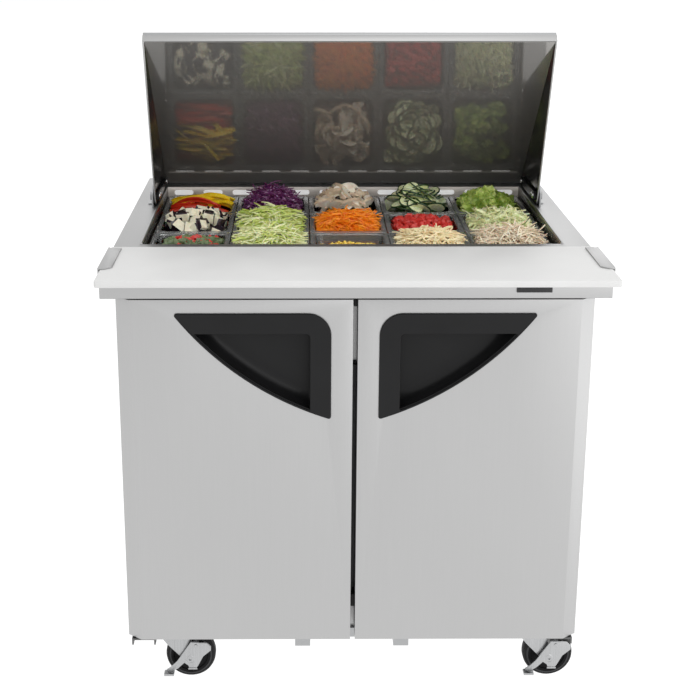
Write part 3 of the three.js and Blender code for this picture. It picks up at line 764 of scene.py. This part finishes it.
GLOSSY, CRISP = (0.18, 0.3), (0.2, 0.35)
FOOD = {
    "pepper_yellow": food("pepper_yellow", (0.86, 0.50, 0.004), (1.0, 0.74, 0.03), scale=30, rough=GLOSSY),
    "pepper_red": food("pepper_red", (0.50, 0.02, 0.01), (0.72, 0.06, 0.015), scale=30, rough=GLOSSY),
    "cabbage": food(
        "purple_cabbage", (0.075, 0.008, 0.06), (0.16, 0.02, 0.13), (0.62, 0.42, 0.60),
        at=(0.35, 0.55, 0.68), scale=110, rough=(0.3, 0.45),
    ),
    "mush_flesh": food("mushroom_flesh", (0.76, 0.64, 0.48), (0.97, 0.92, 0.82), scale=80),
    "mush_skin": food("mushroom_skin", (0.44, 0.30, 0.18), (0.76, 0.63, 0.47)),
    "mush_gill": food("mushroom_gill", (0.05, 0.025, 0.015), (0.16, 0.09, 0.055), scale=90),
    "cuke_rind": food("cucumber_rind", (0.008, 0.028, 0.008), (0.022, 0.070, 0.014), scale=90, rough=CRISP),
    "cuke_flesh": food("cucumber_flesh", (0.76, 0.84, 0.44), (0.94, 0.96, 0.66), scale=90, rough=CRISP),
    "cuke_core": food(
        "cucumber_core", (0.74, 0.80, 0.42), (0.97, 0.98, 0.78),
        at=(0.35, 0.65), scale=260, rough=(0.15, 0.3),
    ),
    "green": food(
        "green_florets", (0.08, 0.16, 0.015), (0.28, 0.40, 0.05), (0.58, 0.68, 0.22),
        at=(0.3, 0.52, 0.72), scale=70, rough=(0.3, 0.5), bump=0.5,
    ),
    "green_pale": food(
        "green_florets_pale", (0.26, 0.40, 0.05), (0.52, 0.64, 0.15), (0.80, 0.84, 0.44),
        at=(0.3, 0.55, 0.75), rough=(0.3, 0.5), bump=0.5,
    ),
    "eggplant": food("eggplant_flesh", (0.66, 0.60, 0.42), (0.85, 0.81, 0.66), scale=120),
    "eggplant_skin": food(
        "eggplant_skin", (0.008, 0.005, 0.008), (0.03, 0.015, 0.025), scale=50, rough=(0.15, 0.3),
    ),
    "celery": food(
        "celery", (0.34, 0.46, 0.06), (0.55, 0.63, 0.16), (0.76, 0.78, 0.40), at=(0.3, 0.55, 0.75), scale=45,
    ),
    "celery_pale": food("celery_pale", (0.58, 0.64, 0.24), (0.84, 0.83, 0.54), scale=55),
    "carrot": food("carrot", (0.90, 0.16, 0.001), (1.0, 0.38, 0.010), rough=(0.3, 0.5)),
    "corn": food("corn", (0.84, 0.55, 0.05), (0.94, 0.74, 0.20), scale=90, rough=CRISP),
    "tomato": food("tomato", (0.44, 0.015, 0.015), (0.72, 0.06, 0.045), scale=110, rough=(0.12, 0.25)),
    "lettuce": food(
        "lettuce", (0.48, 0.57, 0.20), (0.78, 0.79, 0.45), (0.91, 0.90, 0.70), at=(0.3, 0.5, 0.7), scale=70,
    ),
    "cheese": food("pale_shreds", (0.76, 0.60, 0.32), (0.93, 0.82, 0.56)),
    "sprout": food(
        "sprouts", (0.58, 0.44, 0.30), (0.84, 0.74, 0.56), (0.93, 0.87, 0.76), at=(0.3, 0.6, 0.8), scale=70,
    ),
    "leaf": food("leaf_green", (0.06, 0.10, 0.04), (0.18, 0.24, 0.11), scale=50),
}


def fill_peppers():
    """Long strips that lie across the pan: sixteen red ones in front, then the yellow ones."""
    pan = Pan("rear_1", -0.028, 0.044, 11, -0.004, 1.8)
    rng = pan.rng
    pan.bed(1)
    for k in range(40):
        red = k <= 15
        at = pan.spot(0.60)
        across = rng.uniform(-0.85, -0.3) if red else rng.uniform(-0.2, 0.75)
        at.y = pan.c.y + across * pan.hy
        at.z = pan.top(at.x - pan.c.x, at.y - pan.c.y) + 0.001 + 0.008 * k / 40
        turn = rng.gauss(0.05, 0.12) if red else rng.gauss(0.12, 0.30)
        along = Vector((math.cos(turn), math.sin(turn), rng.gauss(0, 0.1))).normalized()
        length, width = rng.uniform(0.075, 0.115), rng.uniform(0.008, 0.012)
        ribbon(pan, at, length, width, 0.0034, 0.35, 0.5, 9, int(red), along, 0.22)
    pan.done([FOOD["pepper_yellow"], FOOD["pepper_red"]])


def fill_rear_row():
    fill_peppers()

    pan = Pan("rear_2", -0.024, 0.064, 12, -0.003, 1.9)
    pan.bed()
    pan.shreds(430, (0.03, 0.065), (0.0016, 0.004), (0.0009, 0.0016), 0.75, 1.5, 0.4)
    pan.done([FOOD["cabbage"]])

    pan = Pan("rear_3", -0.024, 0.048, 13, -0.003, 1.9)
    pan.bed(2)
    for at in pan.spots(46, 0.78, 0.000, 0.009):
        mushroom(pan, at, pan.rng.uniform(0.018, 0.028), pan.rng.uniform(0.35, 1.1))
    pan.done([FOOD["mush_flesh"], FOOD["mush_skin"], FOOD["mush_gill"]])

    pan = Pan("rear_4", -0.024, 0.054, 14, -0.003, 1.9)
    pan.bed()
    for at in pan.spots(54, 0.80, 0.000, 0.010):
        slice_disc(pan, at, pan.rng.uniform(0.019, 0.025), 0.0034, pan.rng.uniform(0.15, 0.70))
    pan.done([FOOD["cuke_rind"], FOOD["cuke_flesh"], FOOD["cuke_core"]])

    pan = Pan("rear_5", -0.024, 0.046, 15, -0.003, 1.9)
    pan.bed(2)
    for at in pan.spots(44, 0.80, -0.002, 0.008):
        lump(pan, at, pan.rng.uniform(0.013, 0.021), pan.rng.choice((0, 0, 1)), 3, 0.6, 2.8, 0.75)
    pan.done([FOOD["green"], FOOD["green_pale"], FOOD["leaf"]])


def fill_middle_row():
    pan = Pan("middle_1", -0.018, 0.026, 21)
    pan.bed(1)
    for at in pan.spots(46, 0.80, -0.003, 0.010):
        chunk(pan, at, pan.rng.uniform(0.022, 0.030), 0.06, (0, 1))
    pan.done([FOOD["eggplant"], FOOD["eggplant_skin"]])

    pan = Pan("middle_2", -0.010, 0.034, 22)
    pan.bed()
    pan.shreds(
        460, (0.045, 0.085), (0.0026, 0.0045), (0.0012, 0.002), 0.25, 0.6, 0.25, mat=(0, 0, 1), sag=0.2,
    )
    pan.done([FOOD["celery"], FOOD["celery_pale"]])

    pan = Pan("middle_3", -0.012, 0.030, 23)
    pan.bed()
    pan.shreds(620, (0.045, 0.08), (0.0018, 0.0028), (0.0014, 0.0020), 0.22, 0.5, 0.26, sag=0.2)
    pan.done([FOOD["carrot"]])

    pan = Pan("middle_4", -0.016, 0.018, 24)
    pan.bed()
    for at in pan.spots(210, 0.86, -0.003, 0.006):
        chunk(pan, at, pan.rng.uniform(0.009, 0.0135), 0.14)
    pan.done([FOOD["tomato"]])

    pan = Pan("middle_5", -0.012, 0.032, 25)
    pan.bed()
    pan.shreds(430, (0.025, 0.06), (0.003, 0.0065), (0.0008, 0.0013), 0.8, 2.2, 0.45)
    pan.done([FOOD["lettuce"]])


def fill_front_row():
    pan = Pan("front_1", -0.018, 0.014, 31)
    pan.bed(3)
    for at in pan.spots(34, 0.84, -0.001, 0.004):
        lump(pan, at, pan.rng.uniform(0.011, 0.017), 1, 3, 0.5, 3.2, 0.75)
    for at in pan.spots(90, 0.84, 0.002, 0.008):
        if at.x > pan.c.x - 0.028:
            chunk(pan, at, pan.rng.uniform(0.008, 0.014), 0.10, (2, 2))
    pan.done([FOOD["cuke_rind"], FOOD["leaf"], FOOD["tomato"], FOOD["leaf"]])

    pan = Pan("front_2", -0.006, 0.030, 32)
    pan.bed()
    pan.shreds(
        460, (0.045, 0.08), (0.0022, 0.004), (0.0012, 0.002), 0.3, 0.7, 0.25, mat=(0, 0, 1), sag=0.15,
    )
    pan.done([FOOD["celery_pale"], FOOD["celery"]])

    pan = Pan("front_3", -0.024, 0.010, 33)
    pan.bed()
    for at in pan.spots(420, 0.92, -0.002, 0.004):
        lump(pan, at, pan.rng.uniform(0.0032, 0.0046), 0, 1, 0.2, 1.5, 0.7)
    pan.done([FOOD["corn"]])

    pan = Pan("front_4", -0.008, 0.030, 34)
    pan.bed()
    pan.shreds(520, (0.035, 0.06), (0.0024, 0.0034), (0.0020, 0.0028), 0.25, 0.5, 0.26, sag=0.2)
    pan.done([FOOD["cheese"]])

    pan = Pan("front_5", -0.010, 0.034, 35)
    pan.bed()
    pan.shreds(430, (0.04, 0.08), (0.0016, 0.0026), (0.0015, 0.0024), 0.6, 0.8, 0.35, segs=7)
    pan.done([FOOD["sprout"]])


fill_rear_row()
fill_middle_row()
fill_front_row()


# ---------------------------------------------------------------- fittings
def lathe(name, profile, at, axis, mats, body, n):
    """Closed turned piece: (radius, height) points revolved about an axis through a point."""
    rot = Vector((0, 0, 1)).rotation_difference(Vector(axis)).to_matrix()
    at = Vector(at)
    verts, faces = [], []
    m = len(profile)
    for i in range(n):
        a = 2 * math.pi * i / n
        for r, h in profile:
            verts.append(tuple(rot @ Vector((r * math.cos(a), r * math.sin(a), h)) + at))
    for i in range(n):
        j = (i + 1) % n
        for k in range(m - 1):
            faces.append((i * m + k, j * m + k, j * m + k + 1, i * m + k + 1))
    data = bpy.data.meshes.new(name)
    data.from_pydata(verts, [], faces)
    bm = bmesh.new()
    bm.from_mesh(data)
    bmesh.ops.remove_doubles(bm, verts=bm.verts, dist=1e-6)
    bmesh.ops.dissolve_degenerate(bm, edges=bm.edges, dist=1e-7)
    bmesh.ops.recalc_face_normals(bm, faces=bm.faces)
    bm.to_mesh(data)
    bm.free()
    return put(name, data, mats, body, angle=30)


def dome_bolt(name, at, axis, r, h, body, mat=None):
    """Domed head with a socket; mat is the bright bolt steel unless given."""
    dome = [math.pi / 2 * i / 6 for i in range(1, 6)]
    profile = [(0, 0), (r, 0), (r, h * 0.35)]
    profile += [(r * math.cos(a), h * 0.35 + h * 0.65 * math.sin(a)) for a in dome]
    profile += [(r * 0.32, h * 0.97), (r * 0.26, h * 0.6), (0, h * 0.6)]
    return lathe(name, profile, at, axis, mat or LOOK["bolt"], body, 28)


def rounded_bar(name, size, place, r, mat, body):
    """Box with rounded edges; place turns a point about its centre into a point of the frame."""
    bm = bmesh.new()
    bmesh.ops.create_cube(bm, size=1)
    for v in bm.verts:
        v.co = Vector((v.co.x * size[0], v.co.y * size[1], v.co.z * size[2]))
    bmesh.ops.bevel(bm, geom=bm.edges[:], offset=r, segments=2, affect="EDGES", profile=0.5)
    for v in bm.verts:
        v.co = place(v.co)
    return put(name, bm, mat, body)


def rounded_box(name, lo, hi, mat, r):
    """Rounded box of the base between two corners."""
    lo, hi = Vector(lo), Vector(hi)
    centre = (lo + hi) / 2
    return rounded_bar(name, hi - lo, lambda p: centre + p, r, mat, "base")


def hood_slab(name, at, along, across, size, mat, r):
    """Rounded bar of the hood from a centre, two directions and (length, width, thickness)."""
    third = along.cross(across)

    def place(p):
        return at + along * p.x + across * p.y + third * p.z

    return rounded_bar(name, size, place, r, mat, "hood")


JOINTS = {j["name"]: j for j in frame["joints"]}
POLE = Vector(JOINTS["hood_swing"]["pos_m"])
HOOD_EDGE = Vector((0, 0.029, 1.241))  # front edge of the hood's inner panel, open
CHEEK_X = 0.423  # outer face of the cheeks
SUNK = 0.0003  # how far a head is let into the face behind it


def hood_trim():
    """Folded trim along the hood's front edge: a proud band and a darker return behind it."""
    right = Vector((1, 0, 0))
    up = Vector((0, 1, 1)).normalized()
    proud = Vector((0, -1, 1)).normalized()
    band = HOOD_EDGE + up * 0.0095 + proud * 0.0001
    hood_slab("hood_trim_band", band, right, up, (0.8364, 0.0160, 0.0018), LOOK["hood"], 0.0006)
    fold = HOOD_EDGE + up * 0.0212 - proud * 0.0003
    hood_slab("hood_trim_return", fold, right, up, (0.8330, 0.0062, 0.0010), LOOK["steel_dark"], 0.0003)


def hood_bolts(s, side):
    """Bright bolts on the black hood arm and on the cheek; places are given from the hood's pivot."""
    lo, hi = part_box(f"hood_arm_{side}")
    inner = lo.x if s > 0 else hi.x
    for k, (dy, dz, r) in enumerate(((0.0, 0.001, 0.0075), (0.020, 0.002, 0.0055), (0.160, 0.0, 0.0055))):
        at = (inner + s * 0.0004, POLE.y + dy, POLE.z + dz - 0.001)
        dome_bolt(f"arm_bolt_{side}_{k}", at, (-s, 0, 0), r, 0.0028, "hood")
    lo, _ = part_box(f"hood_cheek_{side}")
    for k, dy in enumerate((0.07, 0.22)):
        at = (s * (CHEEK_X - SUNK), POLE.y + dy, lo.z + 0.018)
        dome_bolt(f"cheek_screw_{side}_{k}", at, (s, 0, 0), 0.0045, 0.0028, "base")


# Row of oval air outlets in the rear wall of the well, white with a painted glow.
OUTLETS, OUTLET_PITCH = 12, 0.0675
OUTLET_Z, OUTLET_LENGTH, OUTLET_HEIGHT = 0.8590, 0.044, 0.0110
OUTLET_FACE, OUTLET_BACK = 0.3684, 0.3698
# From the back to a shallow dish in the face: (inset, y).
OUTLET_RINGS = (
    (0.0, OUTLET_BACK), (0.0, OUTLET_FACE + 0.0004), (0.0004, OUTLET_FACE),
    (0.0016, OUTLET_FACE), (0.0021, OUTLET_FACE + 0.0006),
)


def air_outlet(name, x):
    half = (OUTLET_LENGTH - OUTLET_HEIGHT) / 2
    bm = bmesh.new()
    rings = []
    for inset, y in OUTLET_RINGS:
        r = OUTLET_HEIGHT / 2 - inset
        outline = arc((x + half, OUTLET_Z), r, -math.pi / 2, math.pi / 2, 12)
        outline += arc((x - half, OUTLET_Z), r, math.pi / 2, 1.5 * math.pi, 12)
        rings.append([bm.verts.new((px, y, pz)) for px, pz in outline])
    skin_rings(bm, rings)
    put(name, bm, LOOK["frost"], "base")


def display_strip():
    """Black display strip on the apron."""
    lo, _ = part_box("worktop")
    rounded_box(
        "display_strip", (0.2885, lo.y - 0.0022, 0.8395), (0.3525, lo.y + 0.0004, 0.862),
        LOOK["badge"], 0.0008,
    )


def post_caps():
    """End caps of the centre post, seen in the gap between the doors."""
    lo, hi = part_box("door_left_skin")
    for k, (z0, z1) in enumerate(((hi.z - 0.017, hi.z - 0.001), (lo.z + 0.064, lo.z + 0.090))):
        corner = (-0.0034, lo.y + 0.014, z0)
        rounded_box(f"post_cap_{k}", corner, (0.0034, -0.3225, z1), LOOK["black"], 0.0006)


HUB_R, RING_R = 0.0398, 0.0432


def make_wheel(pos):
    """Rubber tread on a black hub, with a grey ring between them."""
    name = f"caster_{pos}_wheel"
    lo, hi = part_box(name)
    c = (lo + hi) / 2
    R, w = (hi.z - lo.z) / 2, (hi.y - lo.y) / 2 - 0.002
    face = [
        (0.0061, -w - 0.002), (0.015, -w - 0.002), (0.0165, -w - 0.001), (0.018, -w + 0.0015),
        (0.030, -w + 0.0035), (0.0335, -w + 0.0030), (0.0345, -w + 0.0008), (0.0365, -w), (0.0400, -w),
        (0.0412, -w + 0.0012), (0.0430, -w + 0.0010), (R - 0.0035, -w + 0.0018), (R - 0.0010, -w + 0.0048),
        (R, -w + 0.009), (R, 0),
    ]
    profile = face + [(r, -h) for r, h in reversed(face[:-1])] + [face[0]]
    looks = [LOOK["rubber"], LOOK["hub"], LOOK["tread_ring"]]
    wheel = lathe(name + "_fine", profile, c, (0, 1, 0), looks, f"wheel_{pos}", 64)
    for poly in wheel.data.polygons:
        r = math.hypot(poly.center.x - c.x, poly.center.z - c.z)
        poly.material_index = 1 if r < HUB_R else 2 if r < RING_R else 0
    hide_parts(name)
    refine(f"caster_{pos}_fork", LOOK["zinc"], 0.0006, 2)


def make_brake(side):
    """Pedal brake with a boss round the wheel's pin and a small rivet."""
    node = f"caster_front_{side}_brake"
    refine(node, LOOK["zinc"], 0.0006, 2)
    lo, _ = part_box(node)
    pin = Vector(JOINTS[f"roll_front_{side}"]["pos_m"])
    y = lo.y + 0.0168
    front, body = (0, -1, 0), f"brake_front_{side}"
    dome_bolt(f"brake_boss_{side}", (pin.x, y, pin.z), front, 0.0095, 0.0045, body, LOOK["zinc"])
    dome_bolt(f"brake_rivet_{side}", (pin.x - 0.016, y, pin.z - 0.004), front, 0.004, 0.002, body)


hood_trim()
for s, side in SIDES:
    hood_bolts(s, side)
for i in range(OUTLETS):
    air_outlet(f"air_outlet_{i + 1}", (i - (OUTLETS - 1) / 2) * OUTLET_PITCH)
display_strip()
post_caps()
for pos in ("front_left", "front_right", "rear_left", "rear_right"):
    make_wheel(pos)
for _, side in SIDES:
    make_brake(side)


# ---------------------------------------------------------------- floor
def make_floor():
    """White floor with a glow of its own that grows towards +X."""
    bm = bmesh.new()
    bmesh.ops.create_grid(bm, x_segments=2, y_segments=2, size=14)
    data = bpy.data.meshes.new("floor")
    bm.to_mesh(data)
    bm.free()
    floor = bpy.data.objects.new("floor", data)
    bpy.context.scene.collection.objects.link(floor)
    m = Mat("floor_white", Roughness=0.9, Specular_IOR_Level=0.0, Base_Color=(0, 0, 0, 1))
    across = m.node("ShaderNodeSeparateXYZ")
    m.link(m.coord, across.inputs[0])
    gain = map_range(m.tree, across.outputs["X"], FLOOR_SPAN, FLOOR_GAIN)
    m.link(gain, m.shader.inputs["Emission Strength"])
    glow = m.ramp(m.noise(1.2), shades((1.12, 1.12, 1.12), (1.16, 1.16, 1.16)))
    m.link(glow, m.shader.inputs["Emission Color"])
    data.materials.append(m.material)
    floor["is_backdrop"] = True


make_floor()

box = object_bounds()
as_list = lambda b: [[float(c) for c in corner] for corner in b]
{"cad": as_list(CAD_BOX), "visual": as_list(box)}
